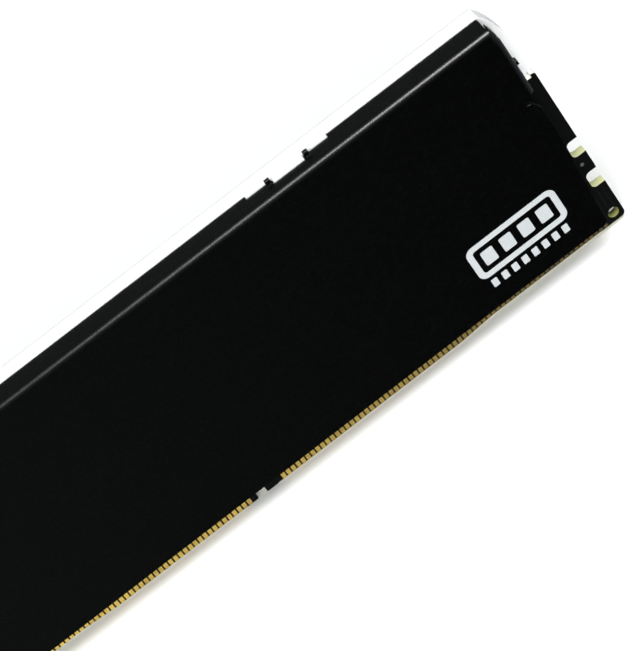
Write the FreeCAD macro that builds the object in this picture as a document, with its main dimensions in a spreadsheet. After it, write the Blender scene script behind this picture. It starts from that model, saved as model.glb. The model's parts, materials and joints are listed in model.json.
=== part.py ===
import FreeCAD, Part
import math
import os

import Sketcher
from FreeCAD import Vector

# A desktop memory module that stands on its card edge: +X along its length, towards the end that is
# on the right when the front is seen, +Z up from the card edge, and the front face towards -Y.
# The origin is on the card edge, in the middle of the board's length and of its thickness.

DRIVING_DIMENSIONS = {
    # board
    "board_length": 133.35,
    "board_height": 31.25,
    "board_thickness": 1.4,
    "board_corner": 1.0,
    "nub_width": 0.75,
    "nub_rise": 0.5,
    "nub_round": 0.5,
    "edge_step": 0.5,
    "edge_bevel": 0.12,
    "ramp_near": 22.95,
    "ramp_far": 28.9,
    "key_gap": 2.1,
    "key_width": 1.5,
    "key_depth": 4.0,
    "key_mouth_round": 0.4,
    "latch_low": 8.0,
    "latch_high": 14.6,
    "latch_height": 3.0,
    "latch_depth": 2.0,
    "latch_fillet": 0.75,
    "hole_diameter": 1.7,
    "hole_inset": 1.45,
    "hole_rise": 2.2,
    # contacts
    "contact_pitch": 0.85,
    "contact_width": 0.6,
    "contact_thickness": 0.04,
    "contact_inset": 3.35,
    "contact_bottom": 0.2,
    "contact_top": 3.1,
    # memory packages and their solder joints
    "chip_width": 7.5,
    "chip_height": 11.0,
    "chip_thickness": 0.75,
    "chip_standoff": 0.3,
    "chip_pitch": 14.2,
    "chip_first": 10.7,
    "chip_bottom": 12.4,
    "chip_bevel": 0.08,
    "chip_dot": 0.35,
    "ball_pitch": 0.8,
    "ball_radius": 0.23,
    # the two small packages on the front
    "detect_width": 3.0,
    "detect_height": 2.0,
    "detect_thickness": 0.55,
    "detect_bottom": 17.0,
    "driver_width": 4.0,
    "driver_height": 4.0,
    "driver_thickness": 0.8,
    "driver_bottom": 24.4,
    "small_bevel": 0.06,
    "small_dot": 0.2,
    # chip components and lights
    "end_proud": 0.04,
    "array_length": 2.0,
    "array_width": 0.8,
    "array_depth": 0.4,
    "array_end_width": 0.3,
    "array_end_pitch": 0.5,
    "array_end_reach": 0.1,
    "array_pitch": 5.6,
    "array_rise": 7.2,
    "capacitor_length": 1.0,
    "capacitor_width": 0.5,
    "capacitor_cap": 0.25,
    "capacitor_spread": 1.6,
    "capacitor_rise": 13.6,
    "capacitor_pair": 1.8,
    "capacitor_step": 7.0,
    "bulk_length": 2.0,
    "bulk_width": 1.25,
    "bulk_cap": 0.4,
    "bulk_rise": 10.1,
    "light_length": 3.0,
    "light_depth": 1.0,
    "light_height": 1.4,
    "light_rim": 0.4,
    "light_sink": 0.15,
    "light_first": 6.5,
    "light_pitch": 12.5,
    "light_rise": 29.4,
    # heat spreaders
    "module_depth": 7.4,
    "sheet": 0.8,
    "spreader_bottom": 4.1,
    "spreader_top": 44.8,
    "spreader_end": 65.0,
    "corner_start": 41.0,
    "corner_radius": 11.6,
    "plate_end": 64.6,
    "plate_lean_end": 23.2,
    "plate_foot_end": 63.5,
    "plate_bend_end": 30.2,
    "plate_shoulder": 1.8,
    "plate_shoulder_in": 0.85,
    "plate_relief": 1.5,
    "foot_round": 0.8,
    "shoulder_round": 0.9,
    "flange_bottom": 31.4,
    "flange_end": 64.08,
    "flange_round": 0.4,
    "slit_width": 0.14,
    "slit_reach": 0.5,
    "trim_top": 1.75,
    "trim_low": 0.4,
    "tooth_bottom": 35.1,
    "tooth_height": 0.7,
    "tooth_depth": 1.0,
    "tooth_proud": 0.5,
    "bend_radius": 1.0,
    "recess_centre": 32.3,
    "recess_width": 13.6,
    "recess_depth": 0.65,
    "dip_width": 5.2,
    "dip_depth": 1.5,
    "lug_reach": 3.55,
    "lug_width": 0.8,
    "lug_thickness": 0.6,
    "lug_height": 0.9,
    "lug_round": 0.2,
    "back_top": 43.4,
    "back_round": 2.0,
    # blank label on the back
    "label_half": 27.0,
    "label_bottom": 14.0,
    "label_top": 34.0,
    "label_thickness": 0.1,
    "label_seat": 0.14,
    "label_margin": 0.4,
    "label_round": 1.5,
    # light bar and the soft layers
    "bar_top": 45.1,
    "bar_front": 2.2,
    "bar_back": 2.6,
    "bar_round": 0.6,
    "bar_front_round": 0.25,
    "bar_foot_gap": 0.05,
    "bar_clearance": 0.1,
    "leg_end": 66.5,
    "leg_start": 37.4,
    "leg_radius": 14.7,
    "layer_margin": 1.0,
    "tape_rise": 2.0,
    "tape_height": 8.0,
    "tape_inset": 4.3,
    "overcut": 1.0,
}

CONTACTS_LONG = 77
CONTACTS_SHORT = 67
CHIPS_PER_SIDE = 8
BALL_COLUMNS = (-4, -3, -2, 2, 3, 4)
BALL_ROWS = 13
FRONT = -1
BACK = 1
ARRAYS_PER_SIDE = 20
BULK_CAPACITORS = 6
LIGHTS = 10

doc = FreeCAD.newDocument("memory_module")
sheet = doc.addObject("Spreadsheet::Sheet", "sizes")
for row, (alias, number) in enumerate(DRIVING_DIMENSIONS.items(), start=1):
    sheet.set("A%d" % row, alias)
    sheet.set("B%d" % row, str(number))
    sheet.setAlias("B%d" % row, alias)
doc.recompute()


class Size:
    """A length in millimetres together with its formula over the sheet of dimensions."""

    def __init__(self, value, formula):
        self.value = value
        self.formula = formula

    def __add__(self, other):
        return Size(self.value + value_of(other), "(%s + %s)" % (self.formula, formula_of(other)))

    def __sub__(self, other):
        return Size(self.value - value_of(other), "(%s - %s)" % (self.formula, formula_of(other)))

    def __mul__(self, other):
        return Size(self.value * value_of(other), "(%s * %s)" % (self.formula, formula_of(other)))

    def __truediv__(self, other):
        return Size(self.value / value_of(other), "(%s / %s)" % (self.formula, formula_of(other)))

    def __neg__(self):
        return Size(-self.value, "(-1 * %s)" % self.formula)

    def root(self):
        return Size(math.sqrt(self.value), "sqrt(%s)" % self.formula)

    __radd__ = __add__
    __rmul__ = __mul__


def value_of(length):
    return length.value if isinstance(length, Size) else float(length)


def formula_of(length):
    return length.formula if isinstance(length, Size) else "(%.6g)" % length


def cell(alias):
    return Size(float(sheet.get(alias)), "sizes.%s" % alias)


sub_parts = []


def keep(piece, label):
    """Names a finished sub-part, so that it is checked and written."""
    piece.Label = label
    sub_parts.append(piece)
    return piece


def bind(thing, prop, length):
    thing.setExpression(prop, formula_of(length))


# ---------------------------------------------------------------- helpers for PartDesign bodies


def new_body(label):
    return keep(doc.addObject("PartDesign::Body", label), label)


def plane_of(body, role):
    return next(item for item in body.Origin.OriginFeatures if item.Role == role)


def attach(body, name, role, offset):
    """A new sketch on one of the body's own planes, moved along that plane's normal."""
    sketch = body.newObject("Sketcher::SketchObject", name)
    sketch.AttachmentSupport = [(plane_of(body, role), "")]
    sketch.MapMode = "FlatFace"
    bind(sketch, "AttachmentOffset.Base.z", offset)
    return sketch


def outline(body, name, role, loops, offset=0):
    """A sketch of closed loops. Each corner is an (across, up) pair of sizes; a third size makes the
    stretch to the next corner an anticlockwise arc of that radius, and otherwise it is straight."""
    sketch = attach(body, name, role, offset)
    for corners in loops:
        first = sketch.GeometryCount
        places = [Vector(value_of(corner[0]), value_of(corner[1]), 0) for corner in corners]
        stretches = []
        for corner, here, there in zip(corners, places, places[1:] + places[:1]):
            if len(corner) > 2:
                stretches.append(arc_between(here, there, value_of(corner[2])))
            else:
                stretches.append(Part.LineSegment(here, there))
        sketch.addGeometry(stretches, False)
        for step, corner in enumerate(corners):
            line = first + step
            following = first + (step + 1) % len(corners)
            sketch.addConstraint(Sketcher.Constraint("Coincident", line, 2, following, 1))
            for kind, length in (("DistanceX", corner[0]), ("DistanceY", corner[1])):
                number = sketch.addConstraint(
                    Sketcher.Constraint(kind, -1, 1, line, 1, value_of(length))
                )
                if isinstance(length, Size):
                    bind(sketch, "Constraints[%d]" % number, length)
            if len(corner) > 2:
                number = sketch.addConstraint(Sketcher.Constraint("Radius", line, value_of(corner[2])))
                bind(sketch, "Constraints[%d]" % number, corner[2])
    return sketch


def arc_between(here, there, radius):
    """The short anticlockwise arc of a circle from one point to another in a sketch's plane."""
    chord = there - here
    to_left = Vector(-chord.y, chord.x, 0).normalize()
    centre = (here + there) / 2 + to_left * math.sqrt(radius**2 - (chord.Length / 2) ** 2)
    start, end = (math.atan2(place.y - centre.y, place.x - centre.x) for place in (here, there))
    if end < start:
        end += 2 * math.pi
    return Part.ArcOfCircle(Part.Circle(centre, Vector(0, 0, 1), radius), start, end)


def circles(body, name, role, centres, diameter, offset=0):
    sketch = attach(body, name, role, offset)
    for across, up in centres:
        place = Vector(value_of(across), value_of(up), 0)
        ring = sketch.addGeometry(Part.Circle(place, Vector(0, 0, 1), value_of(diameter) / 2), False)
        for kind, length in (("DistanceX", across), ("DistanceY", up)):
            number = sketch.addConstraint(Sketcher.Constraint(kind, -1, 1, ring, 3, value_of(length)))
            bind(sketch, "Constraints[%d]" % number, length)
        number = sketch.addConstraint(Sketcher.Constraint("Diameter", ring, value_of(diameter)))
        bind(sketch, "Constraints[%d]" % number, diameter)
    return sketch


def pad(body, name, sketch, length, backwards=False):
    feature = body.newObject("PartDesign::Pad", name)
    feature.Profile = sketch
    bind(feature, "Length", length)
    feature.Reversed = backwards
    doc.recompute()
    return feature


def pocket(body, name, sketch, length, backwards=False):
    """Cuts the sketch's loops away, and makes sure that something was cut."""
    before = body.Shape.Volume
    feature = body.newObject("PartDesign::Pocket", name)
    feature.Profile = sketch
    bind(feature, "Length", length)
    feature.Reversed = backwards
    doc.recompute()
    if body.Shape.Volume > before - 1e-4:
        raise RuntimeError("%s cuts nothing away" % name)
    return feature


def dress(body, kind, name, size, wanted):
    """A fillet or chamfer on the edges of the body that the test picks out."""
    base = body.Tip
    names = ["Edge%d" % (n + 1) for n, edge in enumerate(base.Shape.Edges) if wanted(edge)]
    if not names:
        raise RuntimeError("%s finds no edge" % name)
    feature = body.newObject("PartDesign::%s" % kind, name)
    feature.Base = (base, names)
    bind(feature, "Radius" if kind == "Fillet" else "Size", size)
    doc.recompute()
    return feature


def middle(edge):
    return edge.valueAt((edge.FirstParameter + edge.LastParameter) / 2)


def runs_along(edge, axis):
    if len(edge.Vertexes) < 2:
        return False
    run = edge.Vertexes[1].Point - edge.Vertexes[0].Point
    return run.Length > 1e-6 and abs(run.normalize().dot(axis)) > 0.999


def runs_through(edge):
    return runs_along(edge, Vector(0, 1, 0))


def upright(edge):
    return runs_along(edge, Vector(0, 0, 1))


def through_corner(corners):
    """A test for edges that run through the sheet or board at one of these (x, z) corners."""
    places = [(value_of(across), value_of(up)) for across, up in corners]

    def wanted(edge):
        if not runs_through(edge):
            return False
        spot = middle(edge)
        return any(math.hypot(spot.x - x, spot.z - z) < 0.02 for x, z in places)

    return wanted


def both_ends(corners):
    """The corners and their mirror images at the other end of the module."""
    return list(corners) + [(-corner[0], corner[1]) for corner in corners]


def rectangle(left, bottom, right, top):
    return [(left, bottom), (right, bottom), (right, top), (left, top)]


def mirror_image(side):
    """The mirror image of an open outline, in the opposite order, arcs included."""
    image = []
    for number in reversed(range(len(side))):
        radius = side[number - 1][2:] if number else ()
        image.append((-side[number][0], side[number][1], *radius))
    return image


def mirrored_outline(right_side):
    """A closed outline from its right side, listed upwards, and that side's mirror image."""
    return list(right_side) + mirror_image(right_side)


def arc_lean(radius, rise):
    """How far an arc that starts upright has leaned over once it has risen this much."""
    return radius - (radius * radius - rise * rise).root()


# ---------------------------------------------------------------- board and its contacts

board_end = cell("board_length") / 2
board_face = cell("board_thickness") / 2
last_long_contact = cell("contact_inset") - board_end + cell("contact_pitch") * (CONTACTS_LONG - 1)
first_short_contact = board_end - cell("contact_inset") - cell("contact_pitch") * (CONTACTS_SHORT - 1)
left_ramp = (last_long_contact - cell("ramp_far"), last_long_contact - cell("ramp_near"))
right_ramp = (board_end - cell("ramp_far"), board_end - cell("ramp_near"))


def board_bottom():
    """The card edge from left to right: its middle stands lower than its ends, with the key notch."""
    key_centre = last_long_contact + cell("key_gap")
    key_left = key_centre - cell("key_width") / 2
    key_right = key_centre + cell("key_width") / 2
    step = cell("edge_step")
    return [
        (-board_end, step),
        (left_ramp[0], step),
        (left_ramp[1], 0),
        (key_left, 0),
        (key_left, cell("key_depth")),
        (key_right, cell("key_depth")),
        (key_right, 0),
        (right_ramp[0], 0),
        (right_ramp[1], step),
        (board_end, step),
    ]


def latch_notches():
    """Corners of the two latch notches in the right end, upwards."""
    corners = []
    for alias in ("latch_low", "latch_high"):
        bottom = cell(alias)
        top = bottom + cell("latch_height")
        inner = board_end - cell("latch_depth")
        corners += [(board_end, bottom), (inner, bottom), (inner, top), (board_end, top)]
    return corners


def on_card_edge(edge):
    """The long bottom edges of both faces, notch and ends left out."""
    spot = middle(edge)
    low = spot.z <= value_of(cell("edge_step")) + 0.01
    return low and abs(abs(spot.y) - board_face.value) < 0.01 and not upright(edge)


def board_top():
    """The right half of the top edge, from the end inwards: the nub that is left at the corner where
    the board was broken out of its panel."""
    top = cell("board_height")
    nub_top = top + cell("nub_rise")
    nub_side = board_end - cell("nub_width")
    return [(board_end, nub_top), (nub_side, nub_top), (nub_side, top)]


def make_board():
    body = new_body("circuit_board")
    right = latch_notches() + board_top()
    left = [(-across, up) for across, up in reversed(right)]
    shape = outline(body, "board_outline", "XZ_Plane", [board_bottom() + right + left], -board_face)
    pad(body, "board_slab", shape, cell("board_thickness"))
    dress(body, "Chamfer", "card_edge_bevel", cell("edge_bevel"), on_card_edge)
    inner = [corner for corner in latch_notches() if corner[0].value < board_end.value - 0.1]
    dress(body, "Fillet", "latch_corners", cell("latch_fillet"), through_corner(both_ends(inner)))
    key_top = [corner for corner in board_bottom() if value_of(corner[1]) > 1.0]
    key_round = cell("key_width") / 2 - 0.02
    dress(body, "Fillet", "key_top", key_round, through_corner(key_top))
    key_mouth = [(across, 0) for across, _ in key_top]
    dress(body, "Fillet", "key_mouth", cell("key_mouth_round"), through_corner(key_mouth))
    low_corners, nub_corners = both_ends([(board_end, cell("edge_step"))]), both_ends(board_top()[:1])
    dress(body, "Fillet", "board_corners", cell("board_corner"), through_corner(low_corners))
    dress(body, "Fillet", "nub_corners", cell("nub_round"), through_corner(nub_corners))
    centres = both_ends([(board_end - cell("hole_inset"), cell("hole_rise"))])
    holes = circles(body, "hole_circles", "XZ_Plane", centres, cell("hole_diameter"), -board_face)
    pocket(body, "tooling_holes", holes, cell("board_thickness"), backwards=True)


def edge_height(across):
    """How high the card edge stands at this place along the board."""
    ramps = ((left_ramp[1].value, left_ramp[0].value), (right_ramp[0].value, right_ramp[1].value))
    for inner, outer in ramps:
        share = (across - inner) / (outer - inner)
        if share > 0 and (across > 0) == (outer > 0):
            return min(share, 1.0) * value_of(cell("edge_step"))
    return 0.0


def make_contacts(label, first, count, side):
    """One bank of contacts: thin gold pads lying on a face of the board."""
    width = value_of(cell("contact_width"))
    thickness = value_of(cell("contact_thickness"))
    top = value_of(cell("contact_top"))
    face = board_face.value if side == BACK else -board_face.value - thickness
    pads = []
    for number in range(count):
        centre = first + number * value_of(cell("contact_pitch"))
        bottom = edge_height(centre + math.copysign(width / 2, centre)) + value_of(cell("contact_bottom"))
        corner = Vector(centre - width / 2, face, bottom)
        pads.append(Part.makeBox(width, thickness, top - bottom, corner))
    bank = doc.addObject("Part::Feature", label)
    bank.Shape = Part.makeCompound(pads)
    bank.Placement = FreeCAD.Placement()
    keep(bank, label)


make_board()
for side_name, side in (("front", FRONT), ("back", BACK)):
    long_first = value_of(cell("contact_inset")) - board_end.value
    make_contacts(side_name + "_contacts_long_bank", long_first, CONTACTS_LONG, side)
    make_contacts(side_name + "_contacts_short_bank", first_short_contact.value, CONTACTS_SHORT, side)


# ---------------------------------------------------------------- what is soldered to the board

chip_seat = board_face + cell("chip_standoff")
chip_face = chip_seat + cell("chip_thickness")
chip_middle_height = cell("chip_bottom") + cell("chip_height") / 2


def chip_centres():
    """Places along the board of the packages of one side, from left to right."""
    right = [cell("chip_first") + cell("chip_pitch") * step for step in range(CHIPS_PER_SIDE // 2)]
    return [-across for across in reversed(right)] + right


def outer_face_edges(shape, depth):
    names = []
    for number, edge in enumerate(shape.Edges, start=1):
        if all(abs(corner.Point.y - depth) < 1e-4 for corner in edge.Vertexes):
            names.append(number)
    return names


def make_package(label, width, height, thickness, bevel, dot_radius):
    """A moulded package at the origin: its outer face towards -Y, its lower left corner at zero,
    the face's edges bevelled and a shallow index dimple near its upper left corner."""
    block = doc.addObject("Part::Box", label + "_block")
    bind(block, "Length", width)
    bind(block, "Width", thickness)
    bind(block, "Height", height)
    doc.recompute()
    moulded = doc.addObject("Part::Chamfer", label + "_moulded")
    moulded.Base = block
    edges = outer_face_edges(block.Shape, 0.0)
    moulded.Edges = [(number, bevel.value, bevel.value) for number in edges]
    dot = doc.addObject("Part::Cylinder", label + "_dot")
    bind(dot, "Radius", dot_radius)
    bind(dot, "Height", bevel * 2)
    dot.Placement.Rotation = FreeCAD.Rotation(Vector(1, 0, 0), 90)
    bind(dot, "Placement.Base.x", dot_radius * 3)
    bind(dot, "Placement.Base.y", bevel)
    bind(dot, "Placement.Base.z", height - dot_radius * 3)
    package = doc.addObject("Part::Cut", label)
    package.Base = moulded
    package.Tool = dot
    doc.recompute()
    return keep(package, label)


def seat_package(package, centre, bottom, width, seat, thickness, side):
    """Puts a package on the front of the board, or turned round on its back."""
    if side == FRONT:
        bind(package, "Placement.Base.x", centre - width / 2)
        bind(package, "Placement.Base.y", -seat - thickness)
    else:
        package.Placement = FreeCAD.Placement(Vector(), FreeCAD.Rotation(Vector(0, 0, 1), 180))
        bind(package, "Placement.Base.x", centre + width / 2)
        bind(package, "Placement.Base.y", seat + thickness)
    bind(package, "Placement.Base.z", bottom)


def make_memory_chips(side_name, side):
    width, height, thickness = cell("chip_width"), cell("chip_height"), cell("chip_thickness")
    for number, centre in enumerate(chip_centres(), start=1):
        label = "memory_chip_%s_%d" % (side_name, number)
        package = make_package(label, width, height, thickness, cell("chip_bevel"), cell("chip_dot"))
        seat_package(package, centre, cell("chip_bottom"), width, chip_seat, thickness, side)


def make_solder_balls(label, side):
    """The joints under the packages of one side: balls flattened where they meet board and package."""
    standoff = value_of(cell("chip_standoff"))
    radius = value_of(cell("ball_radius"))
    pitch = value_of(cell("ball_pitch"))
    flat = math.degrees(math.asin(standoff / 2 / radius))
    ball = Part.makeSphere(radius, Vector(), Vector(0, 1, 0), -flat, flat, 360)
    depth = side * (board_face.value + standoff / 2)
    balls = []
    for centre in chip_centres():
        for column in BALL_COLUMNS:
            for row in range(BALL_ROWS):
                up = chip_middle_height.value + (row - (BALL_ROWS - 1) / 2) * pitch
                balls.append(ball.translated(Vector(centre.value + column * pitch, depth, up)))
    group = doc.addObject("Part::Feature", label)
    group.Shape = Part.makeCompound(balls)
    group.Placement = FreeCAD.Placement()
    keep(group, label)


def make_controllers():
    """The small chip that describes the module, and the one that drives its lights."""
    for label, alias in (("presence_detect_chip", "detect"), ("light_controller_chip", "driver")):
        width, height = cell(alias + "_width"), cell(alias + "_height")
        thickness = cell(alias + "_thickness")
        package = make_package(label, width, height, thickness, cell("small_bevel"), cell("small_dot"))
        seat_package(package, width * 0, cell(alias + "_bottom"), width, board_face, thickness, FRONT)


def ended_block(length, width, cap):
    """A square chip component about the origin in x and z, standing on y = 0 towards -Y: a ceramic
    body between two metal end caps that are a little proud of it."""
    proud = value_of(cell("end_proud"))
    corner = Vector(cap - length / 2, proud - width, proud - width / 2)
    shape = Part.makeBox(length - 2 * cap, width - proud, width - 2 * proud, corner)
    for left in (-length / 2, length / 2 - cap):
        shape = shape.fuse(Part.makeBox(cap, width, width, Vector(left, -width, -width / 2)))
    return shape.removeSplitter()


def resistor_array():
    """Four resistors in one block: a ceramic slab with four solder ends across it."""
    length, width, depth = (value_of(cell("array_" + name)) for name in ("length", "width", "depth"))
    end_width, end_reach = value_of(cell("array_end_width")), value_of(cell("array_end_reach"))
    end_depth = depth + value_of(cell("end_proud"))
    end_length = width + 2 * end_reach
    shape = Part.makeBox(length, depth, width, Vector(-length / 2, -depth, -width / 2))
    for step in (-1.5, -0.5, 0.5, 1.5):
        left = step * value_of(cell("array_end_pitch")) - end_width / 2
        corner = Vector(left, -end_depth, -end_length / 2)
        shape = shape.fuse(Part.makeBox(end_width, end_depth, end_length, corner))
    return shape.removeSplitter()


def light_source():
    """A small light that shines upwards: a white block with a window sunk into its top."""
    length, depth, height = (value_of(cell("light_" + name)) for name in ("length", "depth", "height"))
    rim, sink = value_of(cell("light_rim")), value_of(cell("light_sink"))
    block = Part.makeBox(length, depth, height, Vector(-length / 2, -depth, -height / 2))
    corner = Vector(rim - length / 2, rim / 2 - depth, height / 2 - sink)
    return block.cut(Part.makeBox(length - 2 * rim, depth - rim, sink, corner))


def place_group(label, shape, spots, side):
    """Copies of a small component on one side of the board, as one group of separate solids."""
    copies = []
    for across, up in spots:
        copy = shape.copy()
        copy.translate(Vector(0, -board_face.value, 0))
        if side == BACK:
            copy.rotate(Vector(), Vector(0, 0, 1), 180)
        copy.translate(Vector(across, 0, up))
        copies.append(copy)
    group = doc.addObject("Part::Feature", label)
    group.Shape = Part.makeCompound(copies)
    group.Placement = FreeCAD.Placement()
    keep(group, label)


def row_of(count, first, pitch, rise):
    """Places at one height, half of them at each side of the middle."""
    places = [value_of(first) + step * value_of(pitch) for step in range(count // 2)]
    return [(sign * across, value_of(rise)) for across in places for sign in (-1, 1)]


def capacitor_spots():
    """Two pairs of places at each side of the gap between two neighbouring packages."""
    low, pair, step, spread = (
        value_of(cell("capacitor_" + name)) for name in ("rise", "pair", "step", "spread")
    )
    centres = [centre.value for centre in chip_centres()]
    spots = []
    for left, right in zip(centres, centres[1:]):
        for up in (low, low + pair, low + step, low + step + pair):
            spots += [((left + right) / 2 - spread, up), ((left + right) / 2 + spread, up)]
    return spots


def make_small_parts():
    arrays = row_of(ARRAYS_PER_SIDE, cell("array_pitch") / 2, cell("array_pitch"), cell("array_rise"))
    capacitor = ended_block(*(value_of(cell("capacitor_" + name)) for name in ("length", "width", "cap")))
    for side_name, side in (("front", FRONT), ("back", BACK)):
        place_group(side_name + "_resistor_arrays", resistor_array(), arrays, side)
        place_group(side_name + "_capacitors", capacitor, capacitor_spots(), side)
    bulk = ended_block(*(value_of(cell("bulk_" + name)) for name in ("length", "width", "cap")))
    first_gap = cell("chip_first") + cell("chip_pitch") / 2
    bulk_row = row_of(BULK_CAPACITORS, first_gap, cell("chip_pitch"), cell("bulk_rise"))
    place_group("bulk_capacitors", bulk, bulk_row, BACK)
    lights = row_of(LIGHTS, cell("light_first"), cell("light_pitch"), cell("light_rise"))
    place_group("light_emitting_diodes", light_source(), lights, FRONT)


for side_name, side in (("front", FRONT), ("back", BACK)):
    make_memory_chips(side_name, side)
    make_solder_balls(side_name + "_solder_balls", side)
make_controllers()
make_small_parts()


# ---------------------------------------------------------------- heat spreaders

spreader_face = cell("module_depth") / 2
sheet_inside = spreader_face - cell("sheet")
corner_rise = cell("spreader_top") - cell("corner_start")
top_corner_end = cell("spreader_end") - arc_lean(cell("corner_radius"), corner_rise)


def plate_side():
    """The right side of the flat plate, upwards: it leans in towards its foot."""
    return [
        (cell("plate_foot_end"), cell("spreader_bottom")),
        (cell("plate_end"), cell("plate_lean_end")),
        (cell("plate_end"), cell("plate_bend_end") - cell("plate_shoulder")),
        (cell("plate_end") - cell("plate_shoulder_in"), cell("plate_bend_end")),
        (cell("plate_end") - cell("plate_relief"), cell("plate_bend_end")),
    ]


def front_side():
    """The right side of the front shell: the plate, a bend relief, then the end flange's outer face,
    which leans in along an arc towards the top."""
    return plate_side() + [
        (cell("plate_end") - cell("plate_relief"), cell("flange_bottom")),
        (cell("spreader_end"), cell("flange_bottom")),
        (cell("spreader_end"), cell("corner_start"), cell("corner_radius")),
        (top_corner_end, cell("spreader_top")),
    ]


def core_side(wall, foot):
    """The right side, upwards, of what stands inside the front shell this far from its outer face."""
    end = cell("spreader_end") - wall
    radius = cell("corner_radius") - wall
    top = cell("spreader_top") - wall
    top_end = end - arc_lean(radius, top - cell("corner_start"))
    return [(end, foot), (end, cell("corner_start"), radius), (top_end, top)]


def cavity_side():
    """The right side of the hollow behind the front sheet, open below the end flange."""
    wide = cell("board_length") / 2 + cell("overcut")
    return [(wide, 0), (wide, cell("flange_bottom"))] + core_side(cell("sheet"), cell("flange_bottom"))


def bend_test(depth):
    """A test for the edges, this far in front of the middle plane, that the flanges are folded round."""
    lowest = value_of(cell("flange_bottom")) + 0.1

    def wanted(edge):
        at_depth = all(abs(corner.Point.y + depth.value) < 1e-4 for corner in edge.Vertexes)
        return at_depth and middle(edge).z > lowest

    return wanted


def clip_cuts(width, depth):
    """One step cut into the top flange's back edge at each side, seen from above."""
    half = cell(width) / 2
    centres = (cell("recess_centre"), -cell("recess_centre"))
    return [rectangle(at - half, -cell(depth), at + half, cell("overcut")) for at in centres]


def lug_feet():
    """The two upright lugs beside each dip, seen from above."""
    loops = []
    reach = cell("lug_reach")
    front = -(cell("recess_depth") + cell("lug_thickness"))
    for centre in (cell("recess_centre"), -cell("recess_centre")):
        for left in (centre - reach, centre + reach - cell("lug_width")):
            loops.append(rectangle(left, front, left + cell("lug_width"), -cell("recess_depth")))
    return loops


def on_lug_top(edge):
    top = value_of(cell("spreader_top") + cell("lug_height"))
    return abs(middle(edge).z - top) < 1e-4


def relief_slits():
    """Thin slits that part the top flange from the end flanges and round its back corners, seen
    from above."""
    inner = cell("flange_end")
    outer = inner + cell("slit_width")
    corner = cell("flange_round")
    front = cell("slit_reach") - spreader_face
    back = cell("overcut")
    slit = [
        (inner, front),
        (inner, -corner, corner),
        (inner - corner, corner * 0),
        (inner - corner, back),
        (outer, back),
        (outer, front),
    ]
    return [slit, mirror_image(slit)]


def end_flange_trim():
    """Seen from the side: the end flanges' back edges, which come forward towards the top."""
    high = cell("spreader_top") + cell("overcut")
    back = cell("overcut")
    return [
        (back, cell("flange_bottom") - cell("overcut")),
        (back, high),
        (-cell("trim_top"), high),
        (-cell("trim_top"), cell("spreader_top")),
        (-cell("trim_low"), cell("corner_start")),
        (-cell("trim_low"), cell("flange_bottom") - cell("overcut")),
    ]


def trim_end_flanges(body):
    """Cuts both end flanges back, outside the top flange."""
    corners = end_flange_trim()
    length = cell("overcut") + cell("spreader_end") - cell("flange_end")
    for name, offset, backwards in (
        ("right_trim", cell("flange_end"), True),
        ("left_trim", -cell("flange_end"), False),
    ):
        sketch = outline(body, name + "_outline", "YZ_Plane", [corners], offset)
        pocket(body, name, sketch, length, backwards=backwards)


def raise_end_teeth(body):
    """A small tooth at the back edge of each end flange."""
    back, bottom = -cell("trim_low"), cell("tooth_bottom")
    corners = rectangle(back - cell("tooth_depth"), bottom, back, bottom + cell("tooth_height"))
    inside = cell("spreader_end") - cell("sheet") / 2
    length = cell("sheet") / 2 + cell("tooth_proud")
    for name, offset, backwards in (("right_tooth", inside, False), ("left_tooth", -inside, True)):
        sketch = outline(body, name + "_outline", "YZ_Plane", [corners], offset)
        pad(body, name, sketch, length, backwards=backwards)


def make_front_spreader():
    body = new_body("front_heat_spreader")
    top, sheet_cut = cell("spreader_top") + cell("overcut"), cell("sheet") + cell("overcut") * 1.5
    blank = outline(body, "front_outline", "XZ_Plane", [mirrored_outline(front_side())])
    pad(body, "front_block", blank, spreader_face)
    dress(body, "Fillet", "outer_bends", cell("bend_radius"), bend_test(spreader_face))
    hollow = outline(body, "hollow_outline", "XZ_Plane", [mirrored_outline(cavity_side())])
    pocket(body, "hollow", hollow, sheet_inside, backwards=True)
    dress(body, "Fillet", "inner_bends", cell("bend_radius") / 4, bend_test(sheet_inside))
    for name, loops in (
        ("clip_recesses", clip_cuts("recess_width", "recess_depth")),
        ("clip_dips", clip_cuts("dip_width", "dip_depth")),
        ("relief_slits", relief_slits()),
    ):
        pocket(body, name, outline(body, name + "_outline", "XY_Plane", loops, top), sheet_cut)
    trim_end_flanges(body)
    raise_end_teeth(body)
    feet = outline(body, "lug_outline", "XY_Plane", lug_feet(), cell("spreader_top") - cell("sheet"))
    pad(body, "lugs", feet, cell("sheet") + cell("lug_height"))
    dress(body, "Fillet", "lug_tops", cell("lug_round"), on_lug_top)
    foot = both_ends([(cell("plate_foot_end"), cell("spreader_bottom"))])
    dress(body, "Fillet", "plate_foot_corners", cell("foot_round"), through_corner(foot))
    shoulders = both_ends(plate_side()[2:4])
    dress(body, "Fillet", "plate_shoulders", cell("shoulder_round"), through_corner(shoulders))


def make_back_spreader():
    """A flat plate as wide as the front shell, with a shallow recess for the label."""
    body = new_body("back_heat_spreader")
    side_line = plate_side()[:2] + [(cell("plate_end"), cell("back_top"))]
    blank = outline(body, "back_outline", "XZ_Plane", [mirrored_outline(side_line)], -sheet_inside)
    pad(body, "back_plate", blank, cell("sheet"), backwards=True)
    feet, tops = both_ends(side_line[:1]), both_ends(side_line[2:])
    dress(body, "Fillet", "back_foot_corners", cell("foot_round"), through_corner(feet))
    dress(body, "Fillet", "back_top_corners", cell("back_round"), through_corner(tops))
    loops = [label_outline(cell("label_margin"))]
    seat = outline(body, "label_seat_outline", "XZ_Plane", loops, -spreader_face)
    pocket(body, "label_seat", seat, cell("label_seat"), backwards=True)


def label_outline(margin):
    half = cell("label_half") + margin
    return rectangle(-half, cell("label_bottom") - margin, half, cell("label_top") + margin)


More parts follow.
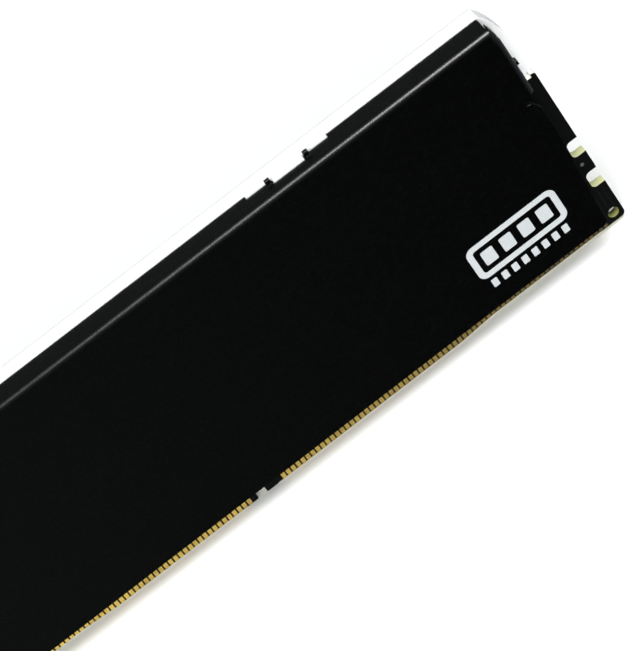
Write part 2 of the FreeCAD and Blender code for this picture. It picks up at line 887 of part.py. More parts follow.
def make_label():
    body = new_body("back_label")
    loops = [label_outline(cell("label_half") * 0)]
    paper = outline(body, "label_outline", "XZ_Plane", loops, cell("label_seat") - spreader_face)
    pad(body, "label_paper", paper, cell("label_thickness"), backwards=True)
    dress(body, "Fillet", "label_corners", cell("label_round"), runs_through)


# ---------------------------------------------------------------- light bar and the soft layers


def bar_side():
    """The right side of the light bar, upwards: the leg's foot steps over the nub at the board's
    corner, and its outer side leans in along an arc."""
    foot = cell("board_height") + cell("bar_foot_gap")
    step = board_end - cell("nub_width") - cell("bar_clearance")
    lean = arc_lean(cell("leg_radius"), cell("bar_top") - cell("leg_start"))
    return [
        (step, foot),
        (step, foot + cell("nub_rise")),
        (cell("leg_end"), foot + cell("nub_rise")),
        (cell("leg_end"), cell("leg_start"), cell("leg_radius")),
        (cell("leg_end") - lean, cell("bar_top")),
    ]


def bar_front_cut():
    """What is cut from the bar's front, so that only its core stands inside the front shell."""
    wide = cell("leg_end") + cell("overcut")
    bottom = cell("board_height") - cell("overcut")
    ring = [(wide, cell("bar_top") + cell("overcut")), (wide, bottom)]
    core = core_side(cell("sheet") + cell("bar_clearance"), bottom)
    return mirror_image(ring) + ring + core + mirror_image(core)


def bar_catches():
    """The raised parts of the bar that fill the front shell's clip recesses, seen from above."""
    gap = cell("bar_clearance")
    loops = []
    for centre in (cell("recess_centre"), -cell("recess_centre")):
        wide = cell("recess_width") / 2 - gap
        narrow = cell("dip_width") / 2 - gap
        shallow = gap - cell("recess_depth")
        deep = gap - cell("dip_depth")
        back = gap * 2 + cell("bar_front_round")
        loops.append(
            [
                (centre - wide, shallow),
                (centre - narrow, shallow),
                (centre - narrow, deep),
                (centre + narrow, deep),
                (centre + narrow, shallow),
                (centre + wide, shallow),
                (centre + wide, back),
                (centre - wide, back),
            ]
        )
    return loops


def make_light_bar():
    body = new_body("light_bar")
    clearance = cell("bar_clearance")
    blank = outline(body, "bar_outline", "XZ_Plane", [mirrored_outline(bar_side())], -cell("bar_back"))
    pad(body, "bar_block", blank, cell("bar_back") + cell("bar_front"))
    cut = outline(body, "bar_front_outline", "XZ_Plane", [bar_front_cut()], cell("bar_front"))
    pocket(body, "bar_front_step", cut, cell("bar_front") + clearance)
    top, back = value_of(cell("bar_top")), value_of(cell("bar_back"))
    foot = value_of(cell("board_height")) + 1.0

    def top_back(edge):
        spot = middle(edge)
        return abs(spot.y - back) < 1e-4 and spot.z > foot

    def top_front(edge):
        spot = middle(edge)
        return abs(spot.y - clearance.value) < 1e-4 and abs(spot.z - top) < 1e-4

    dress(body, "Fillet", "bar_back_rounding", cell("bar_round"), top_back)
    dress(body, "Fillet", "bar_front_rounding", cell("bar_front_round"), top_front)
    step = cell("spreader_top") - cell("sheet") - clearance * 2
    catches = outline(body, "catch_outline", "XY_Plane", bar_catches(), step)
    pad(body, "bar_catches", catches, cell("bar_top") - step)


def make_layer(label, half_length, bottom, height, inner, outer, side):
    """A soft flat layer between two faces, with rounded corners."""
    body = new_body(label)
    loops = [rectangle(-half_length, bottom, half_length, bottom + height)]
    offset = inner if side == FRONT else -inner
    shape = outline(body, label + "_outline", "XZ_Plane", loops, offset)
    pad(body, label + "_slab", shape, outer - inner, backwards=side == BACK)
    dress(body, "Fillet", label + "_corners", cell("layer_margin"), runs_through)


def make_layers():
    """The thermal pads over the packages, and the tapes that hold the spreaders to the light bar."""
    margin = cell("layer_margin")
    last_chip = cell("chip_first") + cell("chip_pitch") * (CHIPS_PER_SIDE // 2 - 1)
    pad_half = last_chip + cell("chip_width") / 2 + margin
    pad_bottom, pad_height = cell("chip_bottom") - margin, cell("chip_height") + margin * 2
    tape_half = cell("flange_end") - cell("tape_inset")
    tape_bottom, tape_height = cell("board_height") + cell("tape_rise"), cell("tape_height")
    for side_name, side, bar_face in (
        ("front", FRONT, cell("bar_front")),
        ("back", BACK, cell("bar_back")),
    ):
        pad_label, tape_label = side_name + "_thermal_pad", side_name + "_foam_tape"
        make_layer(pad_label, pad_half, pad_bottom, pad_height, chip_face, sheet_inside, side)
        make_layer(tape_label, tape_half, tape_bottom, tape_height, bar_face, sheet_inside, side)


make_front_spreader()
make_back_spreader()
make_label()
make_light_bar()
make_layers()


# ---------------------------------------------------------------- checking and writing


def check_document():
    doc.recompute()
    for thing in doc.Objects:
        if "Invalid" in thing.State or "Error" in thing.State:
            raise RuntimeError("%s has failed: %s" % (thing.Label, thing.State))
    for piece in sub_parts:
        if piece.Shape.isNull() or not piece.Shape.isValid():
            raise RuntimeError("%s has no valid shape" % piece.Label)
        if not piece.Shape.Solids:
            raise RuntimeError("%s has no solid" % piece.Label)


def write_parts():
    os.makedirs("parts", exist_ok=True)
    for piece in sub_parts:
        piece.Shape.exportStep("parts/%s.step" % piece.Label)
        size = piece.Shape.optimalBoundingBox()
        print(
            "%-28s %4d solids  %7.2f x %5.2f x %5.2f mm"
            % (piece.Label, len(piece.Shape.Solids), size.XLength, size.YLength, size.ZLength)
        )


check_document()
write_parts()
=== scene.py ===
import json
import math

import bpy
from mathutils import Matrix, Vector


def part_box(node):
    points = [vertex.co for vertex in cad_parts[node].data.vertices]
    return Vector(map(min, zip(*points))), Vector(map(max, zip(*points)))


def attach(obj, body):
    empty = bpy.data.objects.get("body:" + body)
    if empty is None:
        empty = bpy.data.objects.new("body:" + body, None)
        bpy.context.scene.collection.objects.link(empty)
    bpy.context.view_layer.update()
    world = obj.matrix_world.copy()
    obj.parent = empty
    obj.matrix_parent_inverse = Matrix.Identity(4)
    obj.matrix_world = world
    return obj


# A desktop memory module standing on its card edge. Lengths are in metres, in the frame of the packed
# model: +X to the right along the front face, which looks towards -Y, and +Z up from the card edge.

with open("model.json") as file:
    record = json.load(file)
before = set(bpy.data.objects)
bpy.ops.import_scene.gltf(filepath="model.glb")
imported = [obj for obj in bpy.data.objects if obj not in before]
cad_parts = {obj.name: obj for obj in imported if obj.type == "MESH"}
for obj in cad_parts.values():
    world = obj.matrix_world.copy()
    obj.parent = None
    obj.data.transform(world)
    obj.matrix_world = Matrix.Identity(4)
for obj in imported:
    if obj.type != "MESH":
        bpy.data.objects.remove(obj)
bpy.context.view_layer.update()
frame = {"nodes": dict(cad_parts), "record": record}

MM = 0.001
BODY = "module"
nodes = frame["nodes"]

# the room's light above the table's level
ROOM_COLOUR = (0.190, 0.218, 0.198)
# how far above and below that level, as the direction's Z, it blends with the light below it
LEVEL_BLEND = 0.05
# the light below: colours from left to right, spread over this range of the direction's X
LOW_LEFT, LOW_RIGHT = -0.2, 0.8
LOW_COLOURS = (
    (0.0, (0.24, 0.255, 0.255)),
    (0.3, (0.0, 0.0, 0.0)),
    (0.45, (0.01, 0.01, 0.01)),
    (0.9, (0.30, 0.31, 0.34)),
)


# ---------------------------------------------------------------- camera, floor and studio light


def make_camera():
    """A long lens looking down on the front face, rolled so that the module climbs to the right."""
    azimuth, elevation, roll = (math.radians(angle) for angle in (-1.57, 42.83, -36.46))
    distance = 0.6766
    looks_at = Vector((0.0235, 0.0, 0.0182))
    data = bpy.data.cameras.new("camera")
    data.sensor_width = 36.0
    data.lens = 276.5
    camera = bpy.data.objects.new("camera", data)
    bpy.context.scene.collection.objects.link(camera)
    turn = Matrix.Rotation(azimuth, 4, "Z") @ Matrix.Rotation(math.pi / 2 - elevation, 4, "X")
    turn = turn @ Matrix.Rotation(roll, 4, "Z")
    back = turn.to_3x3() @ Vector((0, 0, 1))
    camera.matrix_world = Matrix.Translation(looks_at + back * distance) @ turn
    bpy.context.scene.camera = camera


def add_light(data, place, aim, diffuse, glossy):
    """Puts a light at place, facing the point aim, and says which kinds of reflection it takes part in."""
    light = bpy.data.objects.new(data.name, data)
    bpy.context.scene.collection.objects.link(light)
    light.location = place
    light.rotation_mode = "QUATERNION"
    light.rotation_quaternion = (Vector(aim) - Vector(place)).to_track_quat("-Z", "Y")
    light.visible_camera = False
    light.visible_diffuse = diffuse
    light.visible_glossy = glossy


def softbox(name, place, aim, width, height, watts, diffuse=True, glossy=True):
    """A rectangular light."""
    data = bpy.data.lights.new(name, "AREA")
    data.shape = "RECTANGLE"
    data.size = width
    data.size_y = height
    data.energy = watts
    add_light(data, place, aim, diffuse, glossy)


def overhead_glow(name, place, aim, spread, strength):
    """Soft light that is equally strong all over the table. It comes from a round patch of the
    ceiling this many degrees wide."""
    data = bpy.data.lights.new(name, "SUN")
    data.angle = math.radians(spread)
    data.energy = strength
    add_light(data, place, aim, diffuse=True, glossy=False)


def make_lights():
    """Soft light from above and a weaker one from low in front, and a softbox that only the sheet's
    bends and other glossy surfaces mirror."""
    overhead_glow("key", (0.12, -0.30, 0.98), (0.02, 0, 0), spread=37.0, strength=3.0)
    fill_place, edge_place = (-0.35, -1.05, 0.50), (0.38, -0.42, 0.88)
    softbox("front_fill", fill_place, (0, 0, 0), width=1.2, height=0.7, watts=15.0, glossy=False)
    softbox("edge_light", edge_place, (0.03, 0, 0.04), width=0.5, height=0.4, watts=34.0, diffuse=False)


def make_world():
    """White to the camera. For the light that falls on things it is a dim room, and low down, where
    only reflections go, it is dark in front and paler towards both sides."""
    world = bpy.data.worlds.new("studio")
    world.use_nodes = True
    tree = world.node_tree
    tree.nodes.clear()
    output = tree.nodes.new("ShaderNodeOutputWorld")
    seen_or_lit = tree.nodes.new("ShaderNodeMixShader")
    path = tree.nodes.new("ShaderNodeLightPath")
    seen = tree.nodes.new("ShaderNodeBackground")
    seen.inputs["Color"].default_value = (1, 1, 1, 1)
    room = tree.nodes.new("ShaderNodeBackground")
    tree.links.new(room_light(tree), room.inputs["Color"])
    tree.links.new(path.outputs["Is Camera Ray"], seen_or_lit.inputs["Fac"])
    tree.links.new(room.outputs["Background"], seen_or_lit.inputs[1])
    tree.links.new(seen.outputs["Background"], seen_or_lit.inputs[2])
    tree.links.new(seen_or_lit.outputs["Shader"], output.inputs["Surface"])
    bpy.context.scene.world = world


def room_light(tree):
    """The colour of the light that comes from each direction."""
    direction = tree.nodes.new("ShaderNodeTexCoord")
    split = tree.nodes.new("ShaderNodeSeparateXYZ")
    across = tree.nodes.new("ShaderNodeMapRange")
    across.inputs["From Min"].default_value = LOW_LEFT
    across.inputs["From Max"].default_value = LOW_RIGHT
    low = colour_ramp(tree, LOW_COLOURS)
    height = tree.nodes.new("ShaderNodeMapRange")
    height.inputs["From Min"].default_value = -LEVEL_BLEND
    height.inputs["From Max"].default_value = LEVEL_BLEND
    blend = tree.nodes.new("ShaderNodeMix")
    blend.data_type = "RGBA"
    share, low_colour, high_colour = blend.inputs[0], blend.inputs[6], blend.inputs[7]
    high_colour.default_value = (*ROOM_COLOUR, 1)
    tree.links.new(direction.outputs["Generated"], split.inputs["Vector"])
    tree.links.new(split.outputs["X"], across.inputs["Value"])
    tree.links.new(across.outputs["Result"], low.inputs["Fac"])
    tree.links.new(split.outputs["Z"], height.inputs["Value"])
    tree.links.new(height.outputs["Result"], share)
    tree.links.new(low.outputs["Color"], low_colour)
    return blend.outputs[2]


def colour_ramp(tree, stops):
    """A smooth ramp through (position, colour) stops."""
    ramp = tree.nodes.new("ShaderNodeValToRGB")
    ramp.color_ramp.interpolation = "EASE"
    while len(ramp.color_ramp.elements) < len(stops):
        ramp.color_ramp.elements.new(1.0)
    for element, (position, colour) in zip(ramp.color_ramp.elements, stops):
        element.position = position
        element.color = (*colour, 1)
    return ramp


def make_floor(finish):
    """A wide pale table top. Glossy surfaces don't mirror it, as if black flags stood round the set."""
    reach = 6.0
    corners = [(-reach, -reach, 0), (reach, -reach, 0), (reach, reach, 0), (-reach, reach, 0)]
    mesh = bpy.data.meshes.new("floor")
    mesh.from_pydata(corners, [], [(0, 1, 2, 3)])
    mesh.materials.append(finish)
    floor = bpy.data.objects.new("floor", mesh)
    floor.location.z = -0.02 * MM
    floor.visible_glossy = False
    bpy.context.scene.collection.objects.link(floor)


# ---------------------------------------------------------------- procedural materials


class Finish:
    """A Principled material fed by patterns that are laid out in the module's own millimetres."""

    def __init__(self, name, **values):
        self.material = bpy.data.materials.new(name)
        self.material.use_nodes = True
        self.tree = self.material.node_tree
        self.shader = self.tree.nodes["Principled BSDF"]
        for socket, value in values.items():
            self.shader.inputs[socket.replace("_", " ")].default_value = value
        metres = self.add("ShaderNodeTexCoord").outputs["Object"]
        scaled = self.add("ShaderNodeVectorMath", "SCALE", Vector=metres, Scale=1 / MM)
        self.place = scaled.outputs["Vector"]

    def add(self, kind, operation=None, **inputs):
        """A node whose inputs are set to values or linked to sockets."""
        node = self.tree.nodes.new(kind)
        if operation:
            node.operation = operation
        for name, value in inputs.items():
            self.feed(node.inputs[name.replace("_", " ")], value)
        return node

    def feed(self, socket, value):
        if isinstance(value, bpy.types.NodeSocket):
            self.tree.links.new(value, socket)
        else:
            socket.default_value = value

    def maths(self, operation, first, second=0.0):
        node = self.add("ShaderNodeMath", operation)
        self.feed(node.inputs[0], first)
        self.feed(node.inputs[1], second)
        return node.outputs["Value"]

    def noise(self, scale, detail=3.0, stretch=(1, 1, 1)):
        """Cloudy values about 0.5; scale is the number of clouds in a millimetre."""
        place = self.add("ShaderNodeMapping", Vector=self.place, Scale=stretch).outputs["Vector"]
        return self.add("ShaderNodeTexNoise", Vector=place, Scale=scale, Detail=detail).outputs["Fac"]

    def cells(self, scale):
        """The distance to the nearest of the scattered points, scale of them in a millimetre."""
        return self.add("ShaderNodeTexVoronoi", Vector=self.place, Scale=scale).outputs["Distance"]

    def along(self, axis):
        """The place along one axis, in millimetres."""
        return self.add("ShaderNodeSeparateXYZ", Vector=self.place).outputs[axis]

    def facing(self, axis):
        """How squarely the surface looks along an axis of the module, from 0 to 1."""
        normal = self.add("ShaderNodeNewGeometry").outputs["True Normal"]
        return self.maths("ABSOLUTE", self.add("ShaderNodeSeparateXYZ", Vector=normal).outputs[axis])

    def spread(self, value, low, high, to_low=0.0, to_high=1.0):
        """The value with low..high spread over to_low..to_high, and held at those ends."""
        node = self.add(
            "ShaderNodeMapRange", None, From_Min=low, From_Max=high, To_Min=to_low, To_Max=to_high
        )
        self.feed(node.inputs["Value"], value)
        return node.outputs["Result"]

    def mix(self, share, first, second):
        """A colour between two colours."""
        node = self.tree.nodes.new("ShaderNodeMix")
        node.data_type = "RGBA"
        colour_inputs = [socket for socket in node.inputs if socket.type == "RGBA"]
        self.feed(node.inputs[0], share)
        for socket, colour in zip(colour_inputs, (first, second)):
            is_socket = isinstance(colour, bpy.types.NodeSocket)
            self.feed(socket, colour if is_socket else (*colour, 1))
        return next(socket for socket in node.outputs if socket.type == "RGBA")

    def colour(self, value):
        self.feed(self.shader.inputs["Base Color"], value)

    def roughness(self, value):
        self.feed(self.shader.inputs["Roughness"], value)

    def relief(self, rounding, *layers):
        """Bumps laid over each other on edges that look rounded by this radius in metres; each
        layer is a height pattern and its depth in metres."""
        normal = None
        if rounding:
            normal = self.add("ShaderNodeBevel", None, Radius=rounding).outputs["Normal"]
        for height, depth in layers:
            bump = self.add("ShaderNodeBump", None, Height=height, Distance=depth)
            if normal is not None:
                self.feed(bump.inputs["Normal"], normal)
            normal = bump.outputs["Normal"]
        self.feed(self.shader.inputs["Normal"], normal)


def table_top():
    """Matt white board."""
    finish = Finish("pale_table", Roughness=0.9, Specular_IOR_Level=0.1)
    finish.colour(finish.mix(finish.noise(0.02), (0.88, 0.88, 0.88), (0.90, 0.90, 0.90)))
    finish.relief(0, (finish.noise(2.0), 0.01 * MM))
    return finish.material


def black_coating():
    """Fine-textured satin powder coating."""
    finish = Finish("black_coating", Specular_IOR_Level=0.3)
    grain = finish.noise(7.0, 2.0)
    clouds = finish.noise(0.12)
    dark = finish.mix(clouds, (0.0002, 0.0002, 0.0003), (0.0004, 0.0005, 0.0005))
    finish.colour(finish.mix(finish.spread(grain, 0.58, 0.75), dark, (0.0012, 0.0013, 0.0012)))
    finish.roughness(finish.spread(finish.noise(0.9), 0.3, 0.7, 0.25, 0.29))
    finish.relief(0.16 * MM, (grain, 0.004 * MM), (finish.noise(0.6, 2.0), 0.003 * MM))
    return finish.material


def copper_traces(finish):
    """1 on the traces that run up from the contacts under the mask, 0 beside and above them."""
    contact_pitch, fade_start, fade_end = 0.85, 7.0, 9.0
    steps = finish.maths("DIVIDE", finish.along("X"), contact_pitch)
    inside_step = finish.maths("ABSOLUTE", finish.maths("SUBTRACT", finish.maths("FRACT", steps), 0.5))
    trace = finish.spread(inside_step, 0.12, 0.2, 1.0, 0.0)
    near_contacts = finish.spread(finish.along("Z"), fade_start, fade_end, 1.0, 0.0)
    return finish.maths("MULTIPLY", trace, near_contacts)


def strip_below_contacts(finish):
    """1 in the narrow bare strip along the card edge, whose ends stand a little higher than its
    middle. The strip leaves out the key notch and the bare ends of the board."""
    left_ramp, right_ramp, end_rise = (-27.6, -21.7), (37.8, 43.7), 0.5
    strip_height, key_centre, bare_by_key, bank_end, blur = 0.2, 3.375, 2.7, 62.6, 0.1
    across, up = finish.along("X"), finish.along("Z")
    right_rise = finish.spread(across, *right_ramp, 0.0, end_rise)
    left_rise = finish.spread(across, *left_ramp, end_rise, 0.0)
    above_edge = finish.maths("SUBTRACT", up, finish.maths("ADD", right_rise, left_rise))
    is_low = finish.spread(above_edge, strip_height, strip_height + 0.02, 1.0, 0.0)
    from_key = finish.maths("ABSOLUTE", finish.maths("SUBTRACT", across, key_centre))
    past_key = finish.spread(from_key, bare_by_key - blur, bare_by_key + blur)
    from_middle = finish.maths("ABSOLUTE", across)
    inside_ends = finish.spread(from_middle, bank_end - blur, bank_end + blur, 1.0, 0.0)
    return finish.maths("MULTIPLY", is_low, finish.maths("MULTIPLY", past_key, inside_ends))


def cut_glass(finish, fibres):
    """The colour of the cut walls: glass fibre, with a painted highlight that makes it palest near the
    top, and painted shade in the tooling holes that makes their walls olive and darker towards the back."""
    painted_light_from, painted_light_full_from = 24.0, 28.0
    hole_across, hole_up, hole_reach = 65.225, 2.2, 0.95
    across, up = finish.along("X"), finish.along("Z")
    glass = finish.mix(fibres, (0.50, 0.50, 0.26), (0.70, 0.70, 0.44))
    # painted highlight: the walls turn paler towards the top, where they catch more light
    glass = finish.mix(finish.spread(up, painted_light_from, painted_light_full_from), glass, (0.86, 0.87, 0.80))
    off_x = finish.maths("SUBTRACT", finish.maths("ABSOLUTE", across), hole_across)
    off_z = finish.maths("SUBTRACT", up, hole_up)
    squares = finish.maths("ADD", finish.maths("POWER", off_x, 2.0), finish.maths("POWER", off_z, 2.0))
    in_hole = finish.spread(squares, hole_reach**2, (hole_reach + 0.05) ** 2, 1.0, 0.0)
    painted_hole_shade = finish.maths("MULTIPLY", in_hole, finish.spread(finish.along("Y"), -0.1, 0.5))
    # painted shade: the tooling hole walls are darkened to olive, and darker still towards the back
    glass = finish.mix(in_hole, glass, (0.30, 0.31, 0.10))
    return finish.mix(painted_hole_shade, glass, (0.05, 0.05, 0.008))


def board_mask():
    """Black solder mask over copper traces. Bare glass fibre shows on the cut walls and in the strip
    below the contacts."""
    finish = Finish("board_mask", Specular_IOR_Level=0.35)
    traces = copper_traces(finish)
    fibres = finish.noise(5.0, 3.0, stretch=(0.3, 4.0, 0.3))
    mask = finish.mix(finish.noise(0.5), (0.0007, 0.0010, 0.0008), (0.0014, 0.0018, 0.0015))
    mask = finish.mix(finish.maths("MULTIPLY", traces, 0.4), mask, (0.004, 0.005, 0.004))
    strip = finish.mix(fibres, (0.50, 0.44, 0.34), (0.64, 0.57, 0.45))
    face = finish.mix(strip_below_contacts(finish), mask, strip)
    is_wall = finish.spread(finish.facing("Y"), 0.35, 0.5, 1.0, 0.0)
    finish.colour(finish.mix(is_wall, face, cut_glass(finish, fibres)))
    finish.roughness(finish.spread(finish.noise(3.0), 0.3, 0.7, 0.3, 0.42))
    finish.relief(0, (traces, 0.012 * MM), (finish.noise(2.5), 0.006 * MM))
    return finish.material


def contact_gold():
    """Thin gold plating with a fine brushed grain. Painted shade darkens it towards the right end of the
    board, where the spreader's overhang shades the contacts.
    """
    finish = Finish("contact_gold", Metallic=0.35, Specular_IOR_Level=0.5)
    streaks = finish.noise(4.0, 3.0, stretch=(3.0, 1.0, 0.35))
    tarnish = finish.noise(0.7)
    # a lit and a shaded copy of the gold; the shaded copy is painted shade that takes over towards the
    # right end
    lit_gold = finish.mix(streaks, (0.82, 0.55, 0.10), (0.98, 0.75, 0.19))
    shaded_gold = finish.mix(streaks, (0.08, 0.06, 0.03), (0.14, 0.11, 0.06))
    painted_shade_share = finish.maths("POWER", finish.spread(finish.along("X"), -60.0, 55.0), 2.0)
    gold = finish.mix(painted_shade_share, lit_gold, shaded_gold)
    patches = finish.maths("MULTIPLY", finish.spread(tarnish, 0.45, 0.7), 0.5)
    finish.colour(finish.mix(patches, gold, (0.30, 0.18, 0.05)))
    finish.roughness(finish.spread(streaks, 0.3, 0.7, 0.24, 0.4))
    finish.relief(0, (streaks, 0.004 * MM))
    return finish.material


def solder():
    """Frosted tin."""
    finish = Finish("solder", Metallic=1.0)
    frost = finish.noise(9.0)
    finish.colour(finish.mix(frost, (0.50, 0.50, 0.51), (0.72, 0.72, 0.73)))
    finish.roughness(finish.spread(frost, 0.3, 0.7, 0.28, 0.5))
    finish.relief(0, (frost, 0.008 * MM))
    return finish.material


def chip_mould():
    """Moulded epoxy with a spark-eroded texture."""
    finish = Finish("chip_mould", Specular_IOR_Level=0.4)
    grain = finish.noise(12.0, 2.0)
    finish.colour(finish.mix(grain, (0.014, 0.014, 0.015), (0.030, 0.030, 0.031)))
    finish.roughness(finish.spread(grain, 0.3, 0.7, 0.55, 0.75))
    finish.relief(0, (grain, 0.010 * MM))
    return finish.material


def chip_component(name, ceramic_dark, ceramic_light, body_reach):
    """A ceramic body between tinned ends. body_reach is how far from the board's middle plane the
    ceramic lies back from its end caps."""
    finish = Finish(name, Specular_IOR_Level=0.5)
    grain = finish.noise(10.0)
    outside = finish.maths("ABSOLUTE", finish.along("Y"))
    tinned = finish.spread(outside, body_reach - 0.015, body_reach + 0.005)
    ceramic = finish.mix(grain, ceramic_dark, ceramic_light)
    finish.colour(finish.mix(tinned, ceramic, (0.62, 0.62, 0.63)))
    finish.feed(finish.shader.inputs["Metallic"], tinned)
    finish.roughness(finish.spread(grain, 0.3, 0.7, 0.35, 0.55))
    finish.relief(0, (grain, 0.005 * MM))
    return finish.material


def light_housing():
    """The cream-white plastic of the small lights."""
    finish = Finish("light_housing", Specular_IOR_Level=0.5)
    finish.colour(finish.mix(finish.noise(2.0), (0.78, 0.77, 0.70), (0.88, 0.87, 0.82)))
    finish.roughness(finish.spread(finish.noise(6.0), 0.3, 0.7, 0.35, 0.5))
    finish.relief(0, (finish.noise(8.0), 0.004 * MM))
    return finish.material


def light_guide():
    """Milky moulded plastic with a satin surface."""
    finish = Finish("light_guide", Specular_IOR_Level=0.4, Subsurface_Weight=0.2)
    finish.shader.inputs["Subsurface Radius"].default_value = (1.0, 0.9, 0.9)
    finish.shader.inputs["Subsurface Scale"].default_value = 0.8 * MM
    clouds = finish.noise(0.25)
    finish.colour(finish.mix(clouds, (0.78, 0.78, 0.80), (0.84, 0.84, 0.85)))
    finish.roughness(finish.spread(finish.noise(3.0), 0.3, 0.7, 0.32, 0.42))
    finish.relief(0, (finish.noise(6.0), 0.004 * MM), (finish.noise(0.5), 0.010 * MM))
    return finish.material


def label_paper():
    """A plain silver-grey sticker with a printed frame."""
    finish = Finish("label_paper", Specular_IOR_Level=0.4)
    half_width, half_height, middle_z, line = 25.2, 8.2, 24.0, 0.35
    fibres = finish.noise(5.0, 4.0, stretch=(0.5, 1.0, 2.0))
    past_side = finish.maths("SUBTRACT", finish.maths("ABSOLUTE", finish.along("X")), half_width)
    off_middle = finish.maths("ABSOLUTE", finish.maths("SUBTRACT", finish.along("Z"), middle_z))
    past_top = finish.maths("SUBTRACT", off_middle, half_height)
    from_line = finish.maths("ABSOLUTE", finish.maths("MAXIMUM", past_side, past_top))
    printed = finish.spread(from_line, line / 2 - 0.03, line / 2 + 0.03, 1.0, 0.0)
    paper = finish.mix(fibres, (0.50, 0.51, 0.52), (0.62, 0.63, 0.64))
    finish.colour(finish.mix(printed, paper, (0.06, 0.06, 0.065)))
    finish.roughness(finish.spread(fibres, 0.3, 0.7, 0.4, 0.55))
    finish.relief(0, (fibres, 0.004 * MM))
    return finish.material


def thermal_pad():
    """Soft grey-blue silicone full of filler grains."""
    finish = Finish("thermal_pad", Specular_IOR_Level=0.3)
    filler = finish.cells(4.0)
    finish.colour(finish.mix(finish.spread(filler, 0.0, 0.6), (0.52, 0.56, 0.62), (0.34, 0.38, 0.44)))
    finish.roughness(finish.spread(filler, 0.0, 0.8, 0.6, 0.8))
    finish.relief(0, (filler, 0.03 * MM))
    return finish.material


def foam_tape():
    """Black foam with open pores."""
    finish = Finish("foam_tape", Specular_IOR_Level=0.2)
    pores = finish.cells(7.0)
    finish.colour(finish.mix(finish.spread(pores, 0.0, 0.5), (0.006, 0.006, 0.006), (0.035, 0.035, 0.035)))
    finish.roughness(finish.spread(pores, 0.0, 0.8, 0.75, 0.95))
    finish.relief(0, (pores, 0.05 * MM))
    return finish.material


def white_print():
    """Screen-printed ink, a little uneven."""
    finish = Finish("white_print", Specular_IOR_Level=0.3)
    grain = finish.noise(6.0)
    finish.colour(finish.mix(grain, (0.37, 0.39, 0.405), (0.45, 0.47, 0.485)))
    finish.roughness(finish.spread(grain, 0.3, 0.7, 0.5, 0.65))
    finish.relief(0, (grain, 0.004 * MM))
    return finish.material


def dress_nodes():
    """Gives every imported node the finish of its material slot."""
    board_half = 0.7
    resistor_body, capacitor_body = board_half + 0.4, board_half + 0.46
    finishes = {
        "board_mask": board_mask(),
        "contact_gold": contact_gold(),
        "solder": solder(),
        "chip_mould": chip_mould(),
        "resistor_ceramic": chip_component(
            "resistor_ceramic", (0.010, 0.010, 0.012), (0.022, 0.022, 0.026), resistor_body
        ),
        "capacitor_ceramic": chip_component(
            "capacitor_ceramic", (0.30, 0.19, 0.10), (0.42, 0.28, 0.16), capacitor_body
        ),
        "light_housing": light_housing(),
        "spreader_paint": black_coating(),
        "label_paper": label_paper(),
        "light_guide": light_guide(),
        "thermal_pad": thermal_pad(),
        "foam_tape": foam_tape(),
    }
    for part in frame["record"]["subparts"]:
        for slot in nodes[part["node"]].material_slots:
            slot.material = finishes[part["material_slot"]]
    return finishes


# ---------------------------------------------------------------- printed and plated details


def rounded_rectangle(left, low, right, high, radius, steps=6):
    """The outline, anticlockwise, of a rectangle with round corners."""
    corners = ((right, high, 0), (left, high, 90), (left, low, 180), (right, low, 270))
    points = []
    for across, up, start in corners:
        centre_x = across - math.copysign(radius, across - (left + right) / 2)
        centre_z = up - math.copysign(radius, up - (low + high) / 2)
        for step in range(steps + 1):
            angle = math.radians(start + 90 * step / steps)
            points.append((centre_x + radius * math.cos(angle), centre_z + radius * math.sin(angle)))
    return points


def circle(across, up, radius, steps=32):
    angles = [2 * math.pi * step / steps for step in range(steps)]
    return [(across + radius * math.cos(angle), up + radius * math.sin(angle)) for angle in angles]


def thin_layer(name, outlines, face, thickness, finish):
    """A flat layer on the plane y = face, towards -Y. An outline inside another one cuts a hole in
    it, and one inside that hole is filled again."""
    curve = bpy.data.curves.new(name, "CURVE")
    curve.dimensions = "2D"
    curve.fill_mode = "BOTH"
    curve.extrude = thickness / 2
    for outline in outlines:
        spline = curve.splines.new("POLY")
        spline.points.add(len(outline) - 1)
        for point, (across, up) in zip(spline.points, outline):
            point.co = (across, up, 0, 1)
        spline.use_cyclic_u = True
    drawn = bpy.data.objects.new(name + "_drawn", curve)
    mesh = bpy.data.meshes.new_from_object(drawn)
    upright = Matrix.Rotation(math.pi / 2, 4, "X")
    mesh.transform(Matrix.Translation((0, face - thickness / 2, 0)) @ upright)
    bpy.data.objects.remove(drawn)
    mesh.materials.clear()
    mesh.materials.append(finish)
    piece = bpy.data.objects.new(name, mesh)
    bpy.context.scene.collection.objects.link(piece)
    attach(piece, BODY)


def row(middle, count, pitch):
    """The centres of count things that are evenly spaced about the middle."""
    return [middle + (number - (count - 1) / 2) * pitch for number in range(count)]


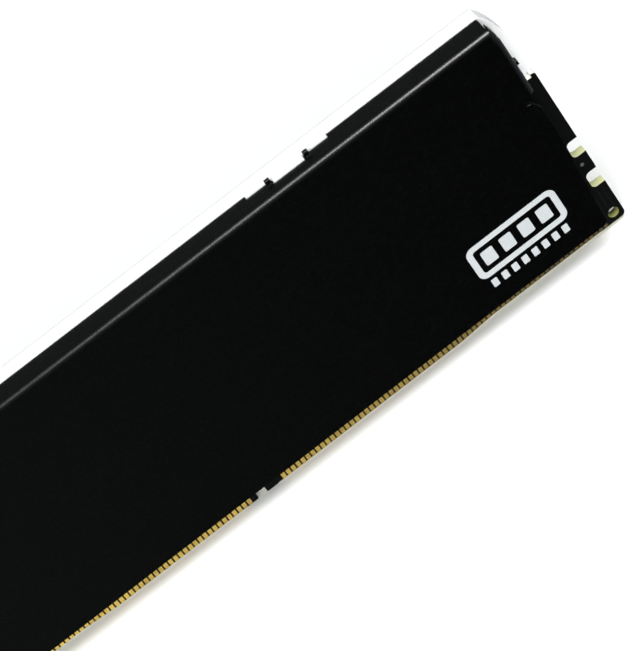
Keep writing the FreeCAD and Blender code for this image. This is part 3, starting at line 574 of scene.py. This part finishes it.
def make_pictogram(finish):
    """A plain symbol of a memory module: an outline with four packages in it and a row of contacts."""
    plate_low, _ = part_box("front_heat_spreader")
    middle_x, middle_z = 52.2 * MM, 11.7 * MM
    half_width, half_height = 7.5 * MM, 4.3 * MM
    stroke, outer_round, inner_round = 0.95 * MM, 1.3 * MM, 0.5 * MM
    packages, package_half_width, package_margin, package_round = 4, 1.0 * MM, 0.9 * MM, 0.25 * MM
    side_gap, gap_over_teeth = 0.3 * MM, 0.7 * MM
    teeth, tooth_half_width, tooth_height, tooth_round = 8, 0.48 * MM, 1.5 * MM, 0.15 * MM
    tooth_pitch = 1.72 * MM
    ink_thickness = 0.02 * MM

    foot = middle_z - half_height
    left, right = middle_x - half_width, middle_x + half_width
    low, high = foot + tooth_height + gap_over_teeth, middle_z + half_height
    outlines = [
        rounded_rectangle(left, low, right, high, outer_round),
        rounded_rectangle(left + stroke, low + stroke, right - stroke, high - stroke, inner_round),
    ]
    package_pitch = 2 * (half_width - stroke - side_gap) / packages
    package_low, package_high = low + stroke + package_margin, high - stroke - package_margin
    for centre in row(middle_x, packages, package_pitch):
        start, end = centre - package_half_width, centre + package_half_width
        outlines.append(rounded_rectangle(start, package_low, end, package_high, package_round))
    for centre in row(middle_x, teeth, tooth_pitch):
        start, end = centre - tooth_half_width, centre + tooth_half_width
        outlines.append(rounded_rectangle(start, foot, end, foot + tooth_height, tooth_round))
    thin_layer("front_pictogram", outlines, plate_low.y, ink_thickness, finish)


def make_board_pads(finish):
    """A round tinned test pad between the latch notches, at both ends and on both faces."""
    board_low, board_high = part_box("circuit_board")
    across, up, radius = 65.2 * MM, 12.9 * MM, 0.3 * MM
    thickness = 0.03 * MM
    for side_name, face in (("front", board_low.y), ("back", board_high.y + thickness)):
        for end_name, sign in (("right", 1), ("left", -1)):
            name = "%s_test_pad_%s" % (side_name, end_name)
            thin_layer(name, [circle(sign * across, up, radius)], face, thickness, finish)


make_camera()
make_world()
make_lights()
make_floor(table_top())
finishes = dress_nodes()
make_pictogram(white_print())
make_board_pads(finishes["solder"])

bpy.context.scene.view_settings.view_transform = "Standard"
bpy.context.scene.view_settings.look = "None"
